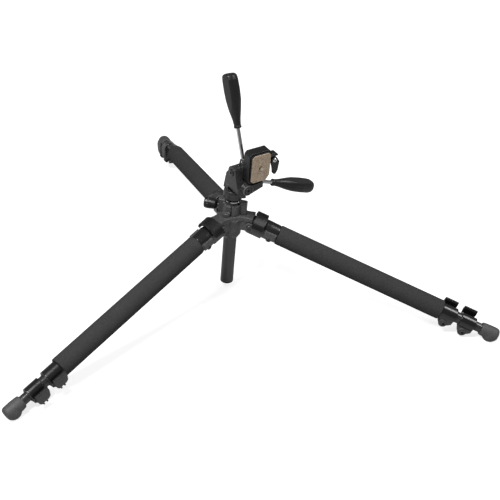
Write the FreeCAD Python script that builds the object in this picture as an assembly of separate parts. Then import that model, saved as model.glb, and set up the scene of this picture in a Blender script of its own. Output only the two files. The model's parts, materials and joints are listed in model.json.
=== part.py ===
"""Three-section aluminium camera tripod with a three-way pan head, all legs at their widest stop.

Frame: +Z up, origin on the floor under the column axis, millimetres.
The legs stand at azimuths 90, 210 and 330 degrees. Each leg is built along a local +X axis
(s along the leg, t sideways, n upwards) and then tipped and turned into place. The head is built
with local +X towards the tilt handle and the camera plate on the local -Y side.
"""
import FreeCAD, Part
import math
import os

os.makedirs("parts", exist_ok=True)
V = FreeCAD.Vector

# ---- driving dimensions, legs -------------------------------------------------------------
LEG_AZIMUTHS = {"1": 90.0, "2": 210.0, "3": 330.0}
LEG_SLOPE = 17.19            # degrees below horizontal at the widest stop
LEG_ROOT_R = 43.4            # where the leg axis starts, from the column axis
LEG_ROOT_Z = 179.9
HINGE_S = 1.3                # hinge pin in the leg frame
HINGE_N = -4.3
EAR_IN, EAR_OUT = 13.6, 18.7
EAR_R = 12.0
SHOULDER_END = 60.4
SHOULDER_R = 20.4
BLOCK_START, BLOCK_END = 33.2, 58.0
UPPER_TUBE_R, UPPER_TUBE_BORE = 14.0, 12.5
MIDDLE_TUBE_R, MIDDLE_TUBE_BORE = 12.0, 10.8
LOWER_TUBE_R, LOWER_TUBE_BORE = 10.0, 8.8
FOAM_R = 21.0
FOAM_START, FOAM_END = 60.7, 439.1
UPPER_CLAMP = (439.4, 472.0)
LOWER_CLAMP = (484.0, 516.6)
UPPER_CLAMP_R, LOWER_CLAMP_R = 17.0, 15.2
FIT = 0.05                   # radial running clearance
GAP = 0.35                   # between pieces that move past each other
FOOT_START, FOOT_END, FOOT_R = 532.0, 571.6, 15.0
TAB_START, TAB_END = 3.0, 28.0
TAB_IN, TAB_OUT = 21.3, 27.6
TAB_CUT_N = 7.0
PIN_T, PIN_N = 21.0, -18.5   # lever pivot, beside and below the leg
BOLT_R, BOLT_HEAD_R, PIVOT_R = 2.5, 4.2, 1.8
BOLT_HEAD_T = -17.0
HINGE_BORE_R, HINGE_BOLT_R = 3.2, 3.15

# ---- driving dimensions, hub and column ---------------------------------------------------
COLUMN_R, COLUMN_BORE = 14.0, 12.4
COLUMN_BOTTOM, COLUMN_TOP = 19.0, 230.6
CAP_BOTTOM = 14.8
HUB_TOP, HUB_SHELF = 198.0, 188.2
ARM_R, ARM_HALF = 48.0, 15.5
KNUCKLE_R, KNUCKLE_HALF = 11.6, 13.2
SLEEVE_R, SLEEVE_BOTTOM = 21.5, 138.0
COLLAR_R, COLLAR_TOP = 20.0, 228.0
KNOB_AZIMUTH = 150.0
KNOB_Z = 209.0

# ---- driving dimensions, head (u along +X, n along -Y, z from the floor) -------------------
HEAD_AZIMUTH = 15.66
WASHER_R = 17.6
PAN_BOTTOM, PAN_TOP, PAN_R = 236.0, 257.0, 20.5
PIVOT_POST_R, PIVOT_POST_TOP = 5.0, 247.0
TILT_Z = 281.0
TILT_R = 13.0
TILT_CAP_R = 11.6
TILT_N = (-0.7, 50.0)
FLIP_N, FLIP_Z = 20.0, 312.0
AXLE_R = 5.0
FLIP_R = 14.0
LUG_R = 13.6
FRONT_LUG = (-21.5, -6.0)
REAR_LUG = (28.0, 38.0)
PLATE_U, PLATE_Z = 20.2, 333.6
PLATE_W, PLATE_H = 45.0, 64.0
PAD_MARGIN = 2.0
PLATFORM_N = (35.0, 55.0)
PLATE_N = (51.0, 58.2)
PAD_N = (58.2, 60.2)
ROD_R = 4.0
FLIP_ROD_U, FLIP_ROD_LEAN = 9.0, 24.5
TILT_ROD_N, TILT_ROD_DROP = 4.5, 21.0
ROD_BORE_START = 9.0
FLIP_GRIP = (84.0, 193.0)
TILT_GRIP = (98.5, 211.0)
LEVER_U, LEVER_Z = 54.0, 341.5
LEVER_N = (50.5, 57.0)
SCREW_R = 3.175              # 1/4 inch camera thread, outside radius
SCREW_NECK_R = 2.5           # relieved neck, which keeps the screw captive in its plate
SCREW_THREAD_N = (60.6, 65.4)


# ---- helpers ------------------------------------------------------------------------------
def tube(start, end, radius, bore=0.0):
    """Round bar or tube along +X."""
    bar = Part.makeCylinder(radius, end - start, V(start, 0, 0), V(1, 0, 0))
    if bore > 0:
        bar = bar.cut(Part.makeCylinder(bore, end - start + 2, V(start - 1, 0, 0), V(1, 0, 0)))
    return bar


def box(x0, x1, y0, y1, z0, z1):
    """Block between two corners."""
    return Part.makeBox(x1 - x0, y1 - y0, z1 - z0, V(x0, y0, z0))


def prism(points, vector):
    """Closed polygon, given as vectors, pushed along a vector."""
    face = Part.Face(Part.makePolygon(points + [points[0]]))
    return face.extrude(vector)


def revolved(outline):
    """Solid of revolution about +X from (x, radius) pairs that start and end on the axis."""
    points = [V(x, r, 0) for x, r in outline]
    return Part.Face(Part.makePolygon(points + [points[0]])).revolve(V(0, 0, 0), V(1, 0, 0), 360)


def ring_z(radius, bore, low, high):
    """Round bar or ring about the column axis."""
    ring = Part.makeCylinder(radius, high - low, V(0, 0, low))
    if bore > 0:
        ring = ring.cut(Part.makeCylinder(bore, high - low + 2, V(0, 0, low - 1)))
    return ring


def fuse(*shapes):
    """One clean solid from several."""
    whole = shapes[0]
    for shape in shapes[1:]:
        whole = whole.fuse(shape)
    return whole.removeSplitter()


def eased(solid, radius, wanted):
    """Fillet the edges that a test picks, keeping the solid as it is if the kernel can't."""
    edges = [edge for edge in solid.Edges if wanted(edge)]
    try:
        rounded = solid.makeFillet(radius, edges)
        if rounded.isValid() and rounded.Volume > 0:
            return rounded
    except Exception as error:
        print("  fillet skipped:", error)
    return solid


def save(name, solid):
    """Write one node's STEP file."""
    solids = solid.Solids
    if len(solids) == 1:
        solid = solids[0]
    print("%-26s solids %d  valid %s  volume %.1f" % (name, len(solids), solid.isValid(), solid.Volume))
    solid.exportStep("parts/" + name + ".step")


# ---- one leg, in its own frame ------------------------------------------------------------
def shoulder():
    """Cast top of a leg: fork ears round the hinge pin, tapered body, two side blocks."""
    body = revolved([(16.0, 0), (16.0, 13.4), (22.0, 18.2), (30.0, SHOULDER_R), (40.0, SHOULDER_R),
                     (SHOULDER_END, 19.4), (SHOULDER_END, 0)])
    for side in (-1, 1):
        y0, y1 = sorted((side * EAR_IN, side * EAR_OUT))
        ear = Part.makeCylinder(EAR_R, EAR_OUT - EAR_IN, V(HINGE_S, y0, HINGE_N), V(0, 1, 0))
        cheek = box(HINGE_S, 30.0, y0, y1, HINGE_N - EAR_R, 7.0)
        block = box(BLOCK_START, BLOCK_END, *sorted((side * 14.0, side * 22.0)), -8.0, 9.0)
        boss = Part.makeCylinder(6.0, 8.0, V(46.0, min(side * 14.0, side * 22.0), -7.5), V(0, 1, 0))
        body = body.fuse([ear, cheek, block, boss])
    body = body.removeSplitter()
    body = body.cut(Part.makeCylinder(HINGE_BORE_R, 60, V(HINGE_S, -30, HINGE_N), V(0, 1, 0)))
    body = body.cut(tube(24.0, 70.0, UPPER_TUBE_R + FIT))
    return body


def upper_tube():
    """Outer leg tube."""
    return tube(24.3, 466.0, UPPER_TUBE_R, UPPER_TUBE_BORE)


def foam_grip():
    """Foam sleeve with rounded ends."""
    sleeve = tube(FOAM_START, FOAM_END, FOAM_R, UPPER_TUBE_R + FIT)
    return eased(sleeve, 1.2, lambda e: e.Length > 2 * math.pi * FOAM_R - 1)


def angle_tab():
    """Ribbed saddle that holds the leg at one of its spread angles."""
    arch = tube(TAB_START, TAB_END, TAB_OUT, TAB_IN)
    rib_count, rib_pitch = 6, 4.0
    for i in range(rib_count):
        start = TAB_START + 1.6 + i * rib_pitch
        arch = arch.fuse(tube(start, start + 2.0, TAB_OUT + 0.9, TAB_OUT - 1.0))
    arch = arch.cut(box(0, 60, -40, 40, -40, TAB_CUT_N))
    return arch.removeSplitter()


def clamp(span, radius, tube_radius, next_radius, step):
    """Leg lock collar: seats on the outer tube, guides the inner one, split under it and bolted."""
    start, end = span
    middle = (start + end) / 2
    collar = tube(start, end, radius)
    lobe = Part.makeCylinder(9.0, 31.5, V(middle - 2, BOLT_HEAD_T, PIN_N), V(0, 1, 0))
    outline = [(start + 0.5, -6.0), (start + 1.0, PIN_N + 3), (middle - 9.5, PIN_N - 5),
               (middle, PIN_N - 8.8), (end - 0.5, 2.0 - radius), (end - 0.5, -6.0)]
    block = prism([V(s, BOLT_HEAD_T + 1.5, n) for s, n in outline], V(0, 30, 0))
    split = box(start - 1, end + 1, -0.8, 0.8, -60, 0)
    bolt_hole = Part.makeCylinder(BOLT_R + FIT, 60, V(middle, -30, PIN_N), V(0, 1, 0))
    head_seat = Part.makeCylinder(BOLT_HEAD_R + FIT, 10, V(middle, BOLT_HEAD_T - 8, PIN_N), V(0, 1, 0))
    bores = [tube(start - 1, step, tube_radius + FIT), tube(step - 1, end + 1, next_radius + FIT)]
    return collar.fuse([lobe, block]).removeSplitter().cut(bores + [split, bolt_hole, head_seat])


def lever(span):
    """D-shaped cam paddle that folds up against the side of the collar."""
    middle = sum(span) / 2
    side = [(PIN_T - 3.4, PIN_N + 4.0), (22.3, -6.0), (22.6, 14.0), (24.2, 17.5), (27.2, 17.5),
            (28.6, 10.0), (28.6, -8.0), (PIN_T + 4.6, PIN_N + 2.5)]
    paddle = prism([V(middle - 20, t, n) for t, n in side], V(40, 0, 0))
    half = [(15.0, 18.0), (15.5, 6.0), (13.5, -6.0), (9.5, -15.0), (5.5, -19.0), (5.5, -25.0)]
    corners = half + [(-s, n) for s, n in reversed(half)]
    front = prism([V(middle + s, 10, n) for s, n in corners], V(0, 25, 0))
    knuckle = Part.makeCylinder(5.0, 11.0, V(middle - 5.5, PIN_T, PIN_N), V(1, 0, 0))
    fork = box(middle - 2.9, middle + 2.9, PIN_T - 8, PIN_T + 8, PIN_N - 8, PIN_N + 3.0)
    pivot = Part.makeCylinder(PIVOT_R + FIT, 60, V(middle - 30, PIN_T, PIN_N), V(1, 0, 0))
    return paddle.common(front).fuse(knuckle).removeSplitter().cut([fork, pivot])


def clamp_bolt(span):
    """Bolt across the collar, under the tube, whose cross bar is the lever's pivot."""
    middle = sum(span) / 2
    head = Part.makeCylinder(BOLT_HEAD_R, 2.6, V(middle, BOLT_HEAD_T - 0.6, PIN_N), V(0, 1, 0))
    shaft = Part.makeCylinder(BOLT_R, PIN_T - BOLT_HEAD_T - 1, V(middle, BOLT_HEAD_T + 1, PIN_N), V(0, 1, 0))
    bar = Part.makeCylinder(PIVOT_R, 12.6, V(middle - 6.3, PIN_T, PIN_N), V(1, 0, 0))
    return fuse(shaft, head, bar)


def middle_tube():
    """Middle leg tube, pushed in."""
    return tube(80.0, 510.0, MIDDLE_TUBE_R, MIDDLE_TUBE_BORE)


def lower_tube():
    """Lower leg tube, pushed in."""
    return tube(90.0, 548.0, LOWER_TUBE_R, LOWER_TUBE_BORE)


def foot():
    """Rubber foot: a stout barrel that is later cut flat where its lower edge meets the floor."""
    body = revolved([(FOOT_START, 0), (FOOT_START, 12.2), (FOOT_START + 1.5, 13.6), (FOOT_START + 8, 14.4),
                     (550.0, FOOT_R), (565.0, FOOT_R), (569.5, 13.6), (FOOT_END, 11.0), (FOOT_END, 0)])
    heel = Part.makeSphere(17.0, V(556.0, 0, -4.0))
    heel = heel.common(tube(FOOT_START + 3, FOOT_END, 30.0))
    return fuse(body, heel).cut(tube(FOOT_START - 1, 548.3, LOWER_TUBE_R + FIT))


def into_place(shape, azimuth):
    """From the leg frame to the part's frame."""
    placed = shape.copy()
    placed.rotate(V(0, 0, 0), V(0, 1, 0), LEG_SLOPE)
    placed.translate(V(LEG_ROOT_R, 0, LEG_ROOT_Z))
    placed.rotate(V(0, 0, 0), V(0, 0, 1), azimuth)
    return placed


def leg_pieces():
    """Every piece of one leg, in the leg frame."""
    return {
        "shoulder": shoulder(),
        "upper_tube": upper_tube(),
        "foam_grip": foam_grip(),
        "angle_tab": angle_tab(),
        "upper_clamp": clamp(UPPER_CLAMP, UPPER_CLAMP_R, UPPER_TUBE_R, MIDDLE_TUBE_R, 466.3),
        "upper_lever": lever(UPPER_CLAMP),
        "upper_clamp_bolt": clamp_bolt(UPPER_CLAMP),
        "middle_tube": middle_tube(),
        "lower_clamp": clamp(LOWER_CLAMP, LOWER_CLAMP_R, MIDDLE_TUBE_R, LOWER_TUBE_R, 510.3),
        "lower_lever": lever(LOWER_CLAMP),
        "lower_clamp_bolt": clamp_bolt(LOWER_CLAMP),
        "lower_tube": lower_tube(),
        "foot": foot(),
    }


def make_legs():
    """Write the nodes of the three legs."""
    floor_trim = box(-900, 900, -900, 900, -50, 0)
    for name, piece in leg_pieces().items():
        for number, azimuth in LEG_AZIMUTHS.items():
            placed = into_place(piece, azimuth)
            if name == "foot":
                placed = placed.cut(floor_trim)
            save("leg_%s_%s" % (number, name), placed)


# ---- hub and column -----------------------------------------------------------------------
def star_plate():
    """Three-armed plate with concave sides between the arms."""
    edges = []
    for azimuth in LEG_AZIMUTHS.values():
        a = math.radians(azimuth)
        out, side = V(math.cos(a), math.sin(a), 0), V(-math.sin(a), math.cos(a), 0)
        right, left = out * ARM_R - side * ARM_HALF, out * ARM_R + side * ARM_HALF
        b = math.radians(azimuth + 60.0)
        middle = V(math.cos(b), math.sin(b), 0) * (SLEEVE_R + 2.0)
        c = math.radians(azimuth + 120.0)
        after = V(math.cos(c), math.sin(c), 0) * ARM_R - V(-math.sin(c), math.cos(c), 0) * ARM_HALF
        edges.append(Part.LineSegment(right, left).toShape())
        edges.append(Part.Arc(left, middle, after).toShape())
    plate = Part.Face(Part.Wire(edges)).extrude(V(0, 0, HUB_TOP - HUB_SHELF))
    plate.translate(V(0, 0, HUB_SHELF))
    return plate


def hub_casting():
    """Three-armed hub with a sleeve for the column and a knuckle for each leg."""
    hub = star_plate()
    sleeve = revolved([(SLEEVE_BOTTOM, 0), (SLEEVE_BOTTOM, COLUMN_R + 2.5), (SLEEVE_BOTTOM + 9, SLEEVE_R),
                       (HUB_SHELF - 8, SLEEVE_R + 1), (HUB_SHELF + 1, SLEEVE_R + 5), (HUB_SHELF + 1, 0)])
    sleeve.rotate(V(0, 0, 0), V(0, 1, 0), -90)
    hub = hub.fuse(sleeve)
    pin_r, pin_z = hinge_place()
    for azimuth in LEG_AZIMUTHS.values():
        arm = box(12, pin_r, -KNUCKLE_HALF, KNUCKLE_HALF, pin_z - KNUCKLE_R + 0.6, HUB_SHELF + 1)
        eye = Part.makeCylinder(KNUCKLE_R, 2 * KNUCKLE_HALF, V(pin_r, -KNUCKLE_HALF, pin_z), V(0, 1, 0))
        top = box(pin_r - 10, ARM_R - 0.5, -11, 11, pin_z, HUB_TOP)
        arm = arm.fuse([eye, top])
        arm.rotate(V(0, 0, 0), V(0, 0, 1), azimuth)
        hub = hub.fuse(arm)
    hub = hub.removeSplitter()
    for azimuth in LEG_AZIMUTHS.values():
        bore = Part.makeCylinder(HINGE_BORE_R, 60, V(pin_r, -30, pin_z), V(0, 1, 0))
        bore.rotate(V(0, 0, 0), V(0, 0, 1), azimuth)
        hub = hub.cut(bore)
    return hub.cut(ring_z(COLUMN_R + FIT, 0, 100, 260))


def hinge_place():
    """Radius and height of the hinge pin, from its place in the leg frame."""
    a = math.radians(LEG_SLOPE)
    radius = LEG_ROOT_R + HINGE_S * math.cos(a) + HINGE_N * math.sin(a)
    height = LEG_ROOT_Z - HINGE_S * math.sin(a) + HINGE_N * math.cos(a)
    return radius, height


def hinge_bolts():
    """The three hinge bolts, each with a round cap on one side and a nut on the other."""
    pin_r, pin_z = hinge_place()
    solids = []
    for azimuth in LEG_AZIMUTHS.values():
        shaft = Part.makeCylinder(HINGE_BOLT_R, 2 * EAR_OUT + 1, V(pin_r, -EAR_OUT - 0.5, pin_z), V(0, 1, 0))
        cap = Part.makeCylinder(7.6, 1.8, V(pin_r, -EAR_OUT - 2.0, pin_z), V(0, 1, 0))
        nut = prism([V(pin_r + 5.6 * math.cos(math.radians(60 * i)), EAR_OUT + 0.2,
                       pin_z + 5.6 * math.sin(math.radians(60 * i))) for i in range(6)], V(0, 1.7, 0))
        bolt = shaft.fuse([cap, nut]).removeSplitter()
        bolt.rotate(V(0, 0, 0), V(0, 0, 1), azimuth)
        solids.append(bolt)
    return Part.makeCompound(solids)


def column_collar():
    """Split clamp ring that grips the column, with a threaded lug for the lock knob."""
    low = HUB_TOP + 0.3
    ring = ring_z(COLLAR_R, 0, low, COLLAR_TOP - 6)
    lug_a = box(14, 29, -8, 8, low, COLLAR_TOP)
    lug_a = lug_a.common(Part.makeCylinder(29, 40, V(0, 0, low)))
    lug_a.rotate(V(0, 0, 0), V(0, 0, 1), KNOB_AZIMUTH)
    lug_b = box(14, 31, -5.5, 5.5, low, COLLAR_TOP + 0.5)
    lug_b = eased(lug_b, 3.0, lambda e: e.CenterOfMass.z > COLLAR_TOP and e.CenterOfMass.x > 30.9)
    lug_b.rotate(V(0, 0, 0), V(0, 0, 1), KNOB_AZIMUTH + 180)
    foot_pad = Part.makeCylinder(9.0, 8.0, V(-15.5, -11.5, low))
    ring = ring.fuse([lug_a, lug_b, foot_pad]).removeSplitter()
    ring = ring.cut(ring_z(COLUMN_R + FIT, 0, 190, 260))
    slot = box(0, 30, -0.8, 0.8, low - 1, COLLAR_TOP + 2)
    slot.rotate(V(0, 0, 0), V(0, 0, 1), 246.0)
    ring = ring.cut(slot)
    bore = Part.makeCylinder(4.05, 40, V(15.5, 0, KNOB_Z), V(1, 0, 0))
    bore.rotate(V(0, 0, 0), V(0, 0, 1), KNOB_AZIMUTH)
    return ring.cut(bore)


def column_lock_knob():
    """Grooved knob on a screw that points at the column axis."""
    knob = revolved([(32.5, 0), (32.5, 8.0), (35.5, 11.0), (52.0, 12.4), (58.0, 11.4), (59.5, 9.0), (59.5, 0)])
    groove_count = 14
    for i in range(groove_count):
        groove = Part.makeCylinder(1.5, 40, V(33, 13.2, 0), V(1, 0, 0))
        groove.rotate(V(0, 0, 0), V(1, 0, 0), i * 360.0 / groove_count)
        knob = knob.cut(groove)
    knob = knob.fuse(tube(15.6, 33.0, 4.0)).removeSplitter()
    knob.translate(V(0, 0, KNOB_Z))
    knob.rotate(V(0, 0, 0), V(0, 0, 1), KNOB_AZIMUTH)
    return knob


def make_hub():
    """Write the hub's and the column's nodes."""
    save("hub_casting", hub_casting())
    save("hinge_bolts", hinge_bolts())
    save("column_collar", column_collar())
    save("column_lock_knob", column_lock_knob())
    save("column_tube", ring_z(COLUMN_R, COLUMN_BORE, COLUMN_BOTTOM, COLUMN_TOP))
    cap = fuse(ring_z(COLUMN_R, 0, CAP_BOTTOM, COLUMN_BOTTOM), ring_z(COLUMN_BORE, 0, COLUMN_BOTTOM - 2, COLUMN_BOTTOM + 10))
    save("column_end_cap", cap)
    washer = fuse(ring_z(WASHER_R, 0, COLUMN_TOP, PAN_BOTTOM - GAP),
                  ring_z(PIVOT_POST_R, 0, COLUMN_TOP, PIVOT_POST_TOP))
    save("pan_washer", washer)


# ---- head, in its own frame (x = u, y = -n) ------------------------------------------------
def along_n(radius, n0, n1, u, z):
    """Cylinder along the tilt axis direction."""
    return Part.makeCylinder(radius, n1 - n0, V(u, -n0, z), V(0, -1, 0))


def hbox(u, n, z):
    """Block in the head frame from three (low, high) pairs."""
    return box(u[0], u[1], -n[1], -n[0], z[0], z[1])


def along_u(radius, u0, u1, n, z):
    """Cylinder along the flip axis direction."""
    return Part.makeCylinder(radius, u1 - u0, V(u0, -n, z), V(1, 0, 0))


def pan_base():
    """Turntable with one upright knuckle for the tilt axle."""
    base = revolved([(PAN_BOTTOM, 0), (PAN_BOTTOM, PAN_R - 1.5), (PAN_BOTTOM + 2, PAN_R), (PAN_TOP - 5, PAN_R),
                     (PAN_TOP - 3.5, PAN_R - 1.0), (PAN_TOP, PAN_R - 1.6), (PAN_TOP, 0)])
    base.rotate(V(0, 0, 0), V(0, 1, 0), -90)
    neck = prism([V(-15, 17, PAN_TOP - 1), V(15, 17, PAN_TOP - 1), V(11.5, 17, TILT_Z), V(-11.5, 17, TILT_Z)],
                 V(0, -16, 0))
    eye = revolved([(1.0, 0), (1.0, 12.6), (8.0, 12.6), (18.0, 10.0), (19.0, 8.6), (19.0, 0)])
    eye.rotate(V(0, 0, 0), V(0, 0, 1), 90)
    eye.translate(V(0, 0, TILT_Z))
    whole = fuse(base, neck, eye)
    whole = whole.cut(along_n(AXLE_R + FIT, -30, 30, 0, TILT_Z))
    return whole.cut(ring_z(PIVOT_POST_R + FIT, 0, PAN_BOTTOM - 1, PIVOT_POST_TOP + 1))


def tilt_axle():
    """Axle fixed in the tilt casting, with a socket-headed cap on the outside."""
    bar = along_n(AXLE_R, -20.0, 51.0, 0, TILT_Z)
    cap = along_n(TILT_CAP_R, 50.2, 53.0, 0, TILT_Z)
    stop = along_n(7.5, -22.0, -19.4, 0, TILT_Z)
    return fuse(bar, cap, stop)


def lug_profile(u0, u1, feet):
    """Flip-axle lug: round top, straight flanks down to a foot of given width."""
    top = along_u(LUG_R, u0, u1, FLIP_N, FLIP_Z)
    left, right, z0 = feet
    flank = prism([V(u0, -left, z0), V(u0, -right, z0), V(u0, -(FLIP_N + LUG_R), FLIP_Z),
                   V(u0, -(FLIP_N - LUG_R), FLIP_Z)], V(u1 - u0, 0, 0))
    return top.fuse(flank)


def tilt_body():
    """Tilting casting: barrel round the tilt axle and two lugs that carry the flip axle."""
    barrel = along_n(TILT_R, TILT_N[0], TILT_N[1], 0, TILT_Z)
    front = lug_profile(FRONT_LUG[0], FRONT_LUG[1], (0.0, 46.0, TILT_Z))
    rear = lug_profile(REAR_LUG[0], REAR_LUG[1], (8.0, 34.0, TILT_Z + 4))
    bridge = hbox((FRONT_LUG[0], REAR_LUG[1]), (12.0, 38.0), (TILT_Z + 2, TILT_Z + 16.4))
    chin = hbox((-21.5, 0.0), (-0.6, 46.0), (TILT_Z - 22, TILT_Z + 4))
    chin = chin.common(along_n(21.5, -1.0, 50.0, 0, TILT_Z))
    boss = prism([V(-2, 0, TILT_Z - TILT_R), V(8, 0, TILT_Z - TILT_R - 1), V(38, 0, TILT_Z - 4),
                  V(38, 0, TILT_Z + 8), V(0, 0, TILT_Z + 8)], V(0, -48, 0))
    heel = hbox((20.0, 38.0), (-9.0, 12.0), (TILT_Z - 16.5, TILT_Z - 1))
    heel = heel.common(prism([V(14, 20, TILT_Z + 2), V(14, 20, TILT_Z - 12), V(38, 20, TILT_Z - 21),
                              V(38, 20, TILT_Z + 2)], V(0, -60, 0)))
    whole = fuse(barrel, front, rear, bridge, chin, boss, heel)
    whole = whole.cut(along_n(AXLE_R + FIT, -30, 60, 0, TILT_Z))
    whole = whole.cut(along_n(TILT_CAP_R + FIT, 50.0, 60, 0, TILT_Z))
    whole = whole.cut(along_u(AXLE_R + FIT, -40, 60, FLIP_N, FLIP_Z))
    whole = whole.cut(along_n(12.6 + 0.5, -30, TILT_N[0] + 0.05, 0, TILT_Z))
    return whole.cut(tilt_rod_line(ROD_R + FIT, ROD_BORE_START, 90))


def flip_axle():
    """Axle fixed in the tilt casting's two lugs."""
    return fuse(along_u(AXLE_R, FRONT_LUG[0] - 1.2, REAR_LUG[1], FLIP_N, FLIP_Z),
                along_u(7.5, FRONT_LUG[0] - 2.4, FRONT_LUG[0] - 0.1, FLIP_N, FLIP_Z))


def rod_line(shape, origin, lean_axis, lean):
    """Lean a shape and move it to its origin."""
    shape.rotate(V(0, 0, 0), lean_axis, lean)
    shape.translate(origin)
    return shape


def tilt_rod_line(radius, start, end):
    """Round bar on the tilt rod's line."""
    return rod_line(tube(start, end, radius), V(0, -TILT_ROD_N, TILT_Z), V(0, 1, 0), TILT_ROD_DROP)


def flip_rod_place(shape):
    """Turn a shape from +X onto the flip rod's line, up and away from the camera plate."""
    shape.rotate(V(0, 0, 0), V(0, 1, 0), -90)
    shape.rotate(V(0, 0, 0), V(1, 0, 0), -FLIP_ROD_LEAN)
    shape.translate(V(FLIP_ROD_U, -FLIP_N, FLIP_Z))
    return shape


def plate_outline(width, height, cut, n, depth):
    """Camera plate outline: straight sides, corners cut back."""
    w, h = width / 2, height / 2
    corners = [(-w, -h + cut), (-w + cut, -h), (w - 1.6 * cut, -h), (w, -h + 2.2 * cut),
               (w, h - cut), (w - cut, h), (-w + cut, h), (-w, h - cut)]
    return prism([V(PLATE_U + u, -n, PLATE_Z + z) for u, z in corners], V(0, -depth, 0))


def flip_body():
    """Casting that turns on the flip axle: barrel, rod boss and camera platform."""
    barrel = along_u(FLIP_R, FRONT_LUG[1] + GAP, REAR_LUG[0] - GAP, FLIP_N, FLIP_Z)
    neck = hbox((FRONT_LUG[1] + GAP, REAR_LUG[0] - GAP), (FLIP_N, PLATFORM_N[0] + 1),
                (FLIP_Z - 11, FLIP_Z + 22))
    platform = plate_outline(PLATE_W + 6, PLATE_H + 5, 5.0, PLATFORM_N[0],
                             PLATFORM_N[1] - PLATFORM_N[0])
    shoulder_block = prism([V(-2.5, -(FLIP_N + 2), FLIP_Z + 10), V(-2.5, -(PLATFORM_N[0] + 1), FLIP_Z + 44),
                            V(-2.5, -(PLATFORM_N[0] + 1), FLIP_Z)], V(REAR_LUG[0] + 2, 0, 0))
    boss = flip_rod_place(revolved([(0, 0), (0, 7.5), (16.0, 7.5), (21.0, 6.0), (21.0, 0)]))
    hook = hbox((PLATE_U + PLATE_W / 2 + 2.5, LEVER_U + 6), (42.0, LEVER_N[0] - GAP),
                (LEVER_Z - 9, LEVER_Z + 9))
    outline = [(-10.0, 9.0), (-10.0, 13.0), (-4.0, 16.5), (3.0, 16.0), (8.5, 11.0), (5.5, 9.0)]
    horn = prism([V(LEVER_U + u, -44.0, LEVER_Z + z) for u, z in outline], V(0, 44.0 - LEVER_N[1], 0))
    whole = fuse(barrel, neck, platform, shoulder_block, boss, hook, horn)
    whole = whole.cut(plate_outline(PLATE_W + 0.8, PLATE_H + 0.8, 5.0, PLATE_N[0] - GAP, 20))
    whole = whole.cut(along_u(AXLE_R + FIT, -40, 60, FLIP_N, FLIP_Z))
    whole = whole.cut(along_n(2.0 + FIT, 40, 60, LEVER_U, LEVER_Z))
    whole = whole.cut(along_n(9.0, 42.0, 60.0, PLATE_U, PLATE_Z))
    return whole.cut(flip_rod_place(tube(ROD_BORE_START, 60, ROD_R + FIT)))


def handle_rod(grip):
    """Bright steel rod, from its thread in the casting to well inside the grip."""
    return tube(ROD_BORE_START + 0.5, grip[0] + 40.0, ROD_R)


def handle_grip(grip):
    """Moulded grip: narrow flanged nose, swelling body, two flats."""
    start, end = grip
    length = end - start
    body = revolved([(start, 0), (start, 7.0), (start + 1, 7.8), (start + 4, 7.8), (start + 5.5, 7.0),
                     (start + 0.16 * length, 8.4), (start + 0.35 * length, 12.6),
                     (start + 0.52 * length, 15.8), (start + 0.7 * length, 17.0),
                     (start + 0.9 * length, 16.4), (start + 0.97 * length, 14.6), (end, 10.5), (end, 0)])
    upper_flat = box(start, end + 1, -30, 30, 11.0, 30)
    lower_flat = box(start, end + 1, -30, 30, -30, -13.0)
    return body.cut([upper_flat, lower_flat, tube(start - 1, start + 40.3, ROD_R + FIT)])


def qr_plate():
    """Quick-release plate with room underneath for the screw's head."""
    plate = plate_outline(PLATE_W, PLATE_H, 5.0, PLATE_N[0], PLATE_N[1] - PLATE_N[0])
    rim = plate_outline(PLATE_W - PAD_MARGIN, PLATE_H - PAD_MARGIN, 5.0, PAD_N[0], 0.9)
    hole = along_n(SCREW_R + FIT, 40, 70, PLATE_U, PLATE_Z)
    head_room = along_n(8.0, 40, PLATE_N[0] + 3.2, PLATE_U, PLATE_Z)
    return plate.fuse(rim).removeSplitter().cut(hole).cut(head_room)


def cork_pad():
    """Cork and rubber sheet glued to the plate's rim."""
    pad = plate_outline(PLATE_W - PAD_MARGIN, PLATE_H - PAD_MARGIN, 5.0, PAD_N[0] + 0.9,
                        PAD_N[1] - PAD_N[0] - 0.9)
    return pad.cut(along_n(4.5, 40, 70, PLATE_U, PLATE_Z))


def camera_screw():
    """Captive camera screw: head under the plate, relieved neck and standard thread above the pad."""
    head = along_n(7.6, 45.0, PLATE_N[0] + 2.9, PLATE_U, PLATE_Z)
    neck = along_n(SCREW_NECK_R, PLATE_N[0] + 2.0, SCREW_THREAD_N[1] - 1, PLATE_U, PLATE_Z)
    thread = along_n(SCREW_R, SCREW_THREAD_N[0], SCREW_THREAD_N[1], PLATE_U, PLATE_Z)
    return fuse(head, neck, thread)


def qr_lever():
    """Lever beside the plate, turning on its pin along the plate's normal."""
    depth = LEVER_N[1] - LEVER_N[0]
    outline = [(-4.0, 5.0), (6.0, 4.0), (12.3, -6.0), (10.0, -26.0), (5.0, -34.5), (0.0, -33.0),
               (-2.0, -20.0), (-5.0, -10.0), (-7.0, -2.0)]
    arm = prism([V(LEVER_U + u, -LEVER_N[0], LEVER_Z + z) for u, z in outline], V(0, -depth, 0))
    arm = eased(arm, 1.5, lambda e: abs(e.Length - depth) < 0.01)
    eye = along_n(7.3, LEVER_N[0], LEVER_N[1], LEVER_U, LEVER_Z)
    return fuse(arm, eye).cut(along_n(2.0 + FIT, 40, 60, LEVER_U, LEVER_Z))


def qr_lever_pin():
    """Pin of the plate lever, with a bright washer head."""
    return fuse(along_n(2.0, 43.0, LEVER_N[1] + 0.5, LEVER_U, LEVER_Z),
                along_n(4.4, LEVER_N[1] + 0.3, LEVER_N[1] + 1.6, LEVER_U, LEVER_Z))


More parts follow.
